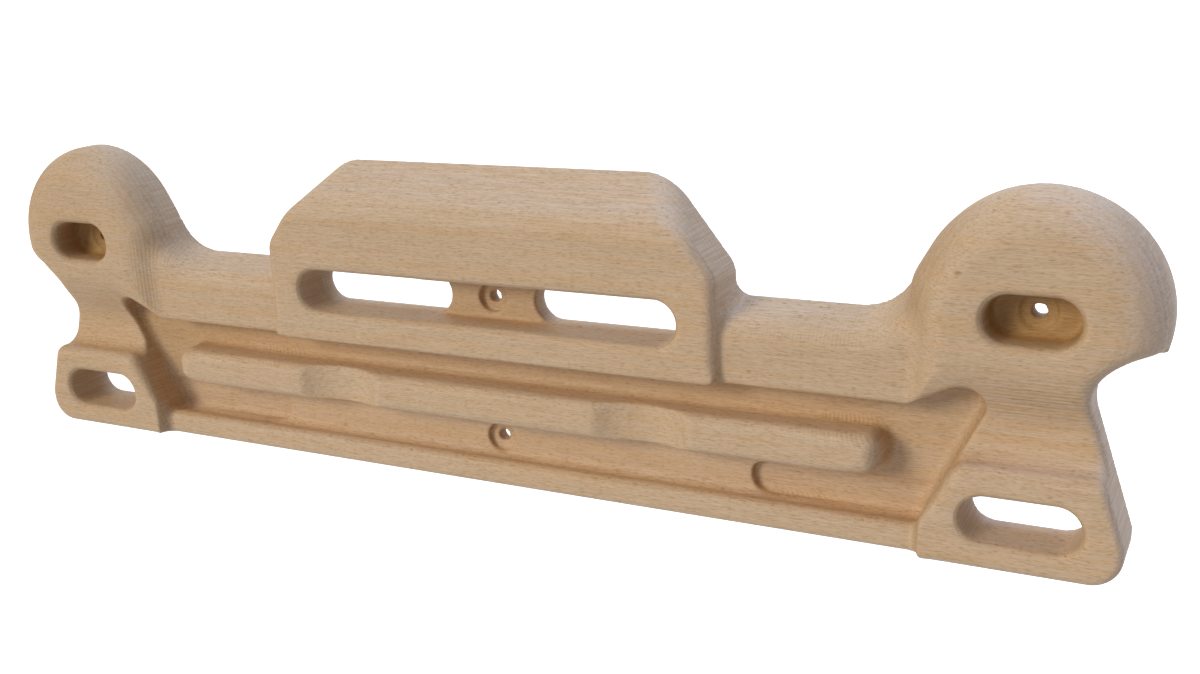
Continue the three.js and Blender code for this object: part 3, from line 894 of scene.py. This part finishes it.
def wood_relief(g, place, grain, forward):
    """The fibres, and the cutter's passes on slanted faces."""
    turn = g.times(g.attribute("passes"), 2 * math.pi / PASS_PITCH)
    slanted = g.math("ABSOLUTE", forward)
    slanted = g.times(g.ramp(slanted, *PASS_FLAT_RANGE), g.ramp(slanted, *PASS_STEEP_RANGE))
    patch = g.ramp(g.noise("patch", place), *PATCH_RANGE)
    scallop = g.times(g.math("SINE", turn), g.times(slanted, patch))
    height = g.plus(grain["fibre"], FIBRE_RELIEF, g.times(grain["thread"], THREAD_RELIEF))
    height = g.plus(scallop, PASS_RELIEF, height)
    return g.add("ShaderNodeBump", {"Strength": 1.0, "Distance": 1 / MM_IN_METRE, "Height": height})


def make_beech(name, tone, pith, spacing, seed):
    """Beech whose growth rings run round a pith line along the board, in front of or behind it."""
    material = bpy.data.materials.new(name)
    material.use_nodes = True
    shader = material.node_tree.nodes["Principled BSDF"]
    g = Graph(material.node_tree, seed)
    place = g.stretched(g.add("ShaderNodeTexCoord", {}, "Object"), (MM_IN_METRE,) * 3)
    facing = g.split(g.add("ShaderNodeNewGeometry", {}, "Normal"))
    end_grain = g.ramp(g.math("ABSOLUTE", facing[0]), *END_GRAIN_RANGE)
    upward = g.ramp(facing[2], *UPWARD_RANGE)
    grain = {kind: g.noise(kind, place) for kind in ("streak", "fibre", "thread")}
    grain["ring"] = growth_rings(g, place, pith, spacing)
    value = wood_tone(g, place, grain, end_grain, upward)
    colour = wood_colour(g, value, grain["streak"], end_grain, tone)
    rough = g.plus(grain["fibre"], FIBRE_ROUGHNESS, g.plus(end_grain, END_ROUGHNESS, ROUGHNESS))
    g.tree.links.new(colour, shader.inputs["Base Color"])
    g.tree.links.new(wood_relief(g, place, grain, facing[1]), shader.inputs["Normal"])
    g.tree.links.new(rough, shader.inputs["Roughness"])
    shader.inputs["Specular IOR Level"].default_value = SPECULAR
    return material


# Camera, floor and lights, in metres and watts, but the lens and sensor in millimetres
CAMERA_PLACE = (0.33465, -0.5432, 0.176675)
CAMERA_YAW = math.radians(-27.562)
CAMERA_PITCH = math.radians(-16.426)
CAMERA_ROLL = math.radians(-2.483)
LENS = 41.14
SENSOR = 36
NEAREST = 0.01

FLOOR_HEIGHT = -0.42
FLOOR_FRONT = -4.0
FLOOR_BACK = 1.4
FLOOR_CURVE = 0.8
FLOOR_CURVE_STEPS = 12
FLOOR_HALF_WIDTH = 5.0
BACKDROP_TOP = 3.5
FLOOR_COLOUR = (0.9, 0.9, 0.9, 1)
FLOOR_ROUGHNESS = 0.9
FLOOR_GLOW = 0.9

SKY_COLOUR = (0.90, 0.97, 1.06, 1)
SKY_STRENGTH = 0.34
LIGHTS = [
    # name, place, target, size, power, colour
    ("overhead", (0.2, 0.45, 1.8), (0, 0, 0), 1.0, 10.6, (0.64, 0.91, 1.46)),
    ("front", (-4.9, -7.5, 3.4), (0, 0, 0), 4.0, 455, (1.0, 0.955, 0.86)),
    ("side", (1.7, 0.15, 0.7), (0.1, 0, 0), 0.9, 12.5, (0.44, 0.68, 1.40)),
]


def make_camera():
    ahead = Vector((math.sin(CAMERA_YAW) * math.cos(CAMERA_PITCH),
                    math.cos(CAMERA_YAW) * math.cos(CAMERA_PITCH), math.sin(CAMERA_PITCH)))
    level = Vector((math.cos(CAMERA_YAW), -math.sin(CAMERA_YAW), 0))
    above = level.cross(ahead)
    right = math.cos(CAMERA_ROLL) * level + math.sin(CAMERA_ROLL) * above
    up = math.cos(CAMERA_ROLL) * above - math.sin(CAMERA_ROLL) * level
    data = bpy.data.cameras.new("camera")
    data.lens = LENS
    data.sensor_width = SENSOR
    data.clip_start = NEAREST
    camera = bpy.data.objects.new("camera", data)
    bpy.context.scene.collection.objects.link(camera)
    place = Matrix((right, up, -ahead)).transposed().to_4x4()
    place.translation = Vector(CAMERA_PLACE)
    camera.matrix_world = place
    bpy.context.scene.camera = camera


def make_floor():
    """A pale floor that curves up behind the board into a plain backdrop."""
    profile = [(FLOOR_FRONT, FLOOR_HEIGHT), (FLOOR_BACK, FLOOR_HEIGHT)]
    for step in range(1, FLOOR_CURVE_STEPS + 1):
        angle = step / FLOOR_CURVE_STEPS * math.pi / 2
        profile.append((FLOOR_BACK + FLOOR_CURVE * math.sin(angle),
                        FLOOR_HEIGHT + FLOOR_CURVE * (1 - math.cos(angle))))
    profile.append((FLOOR_BACK + FLOOR_CURVE, BACKDROP_TOP))
    corners = [(x, y, z) for y, z in profile for x in (-FLOOR_HALF_WIDTH, FLOOR_HALF_WIDTH)]
    faces = [(n, n + 1, n + 3, n + 2) for n in range(0, len(corners) - 2, 2)]
    mesh = bpy.data.meshes.new("floor")
    mesh.from_pydata(corners, [], faces)
    for face in mesh.polygons:
        face.use_smooth = True
    material = bpy.data.materials.new("floor")
    material.use_nodes = True
    shader = material.node_tree.nodes["Principled BSDF"]
    shader.inputs["Base Color"].default_value = FLOOR_COLOUR
    shader.inputs["Roughness"].default_value = FLOOR_ROUGHNESS
    shader.inputs["Emission Color"].default_value = (1, 1, 1, 1)
    shader.inputs["Emission Strength"].default_value = FLOOR_GLOW
    mesh.materials.append(material)
    floor = bpy.data.objects.new("floor", mesh)
    bpy.context.scene.collection.objects.link(floor)
    floor.visible_diffuse = False


def add_light(name, place, target, size, power, colour):
    data = bpy.data.lights.new(name, "AREA")
    data.shape = "DISK"
    data.size = size
    data.energy = power
    data.color = colour
    light = bpy.data.objects.new(name, data)
    bpy.context.scene.collection.objects.link(light)
    light.location = place
    light.rotation_euler = (Vector(target) - Vector(place)).to_track_quat("-Z", "Y").to_euler()


def make_lights():
    world = bpy.data.worlds.new("studio")
    bpy.context.scene.world = world
    world.use_nodes = True
    background = world.node_tree.nodes["Background"]
    background.inputs["Color"].default_value = SKY_COLOUR
    background.inputs["Strength"].default_value = SKY_STRENGTH
    for light in LIGHTS:
        add_light(*light)


# The staves: piece, node that it replaces, slot, beech, lower cut, upper cut and span of x
STAVES = [
    ("beech_lower", "lower_stave", "beech_lower", "beech_lower", None, LOWER_JOINT, WHOLE),
    ("beech_middle", "middle_stave", "beech_middle", "beech_middle", LOWER_JOINT, UPPER_JOINT, WHOLE),
    ("beech_left_top", "left_pod_top", "beech_left_top", "beech_upper", UPPER_JOINT, None, LEFT),
    ("beech_centre_top", "centre_block_top", "beech_centre_top", "beech_upper", UPPER_JOINT, None,
     CENTRE),
    ("beech_right_top", "right_pod_top", "beech_right_top", "beech_upper", UPPER_JOINT, None, RIGHT),
]


def make_staves():
    points, quads = make_board()
    beeches = {name: make_beech(name, *values) for name, values in BEECHES.items()}
    for name, node, slot, beech, low, high, span in STAVES:
        mesh = stave_mesh(name, points, quads, low, high, span)
        make_piece(name, node, mesh, beeches[beech])


make_staves()
make_camera()
make_floor()
make_lights()
bpy.context.scene.view_settings.view_transform = "Standard"

bpy.context.view_layer.update()
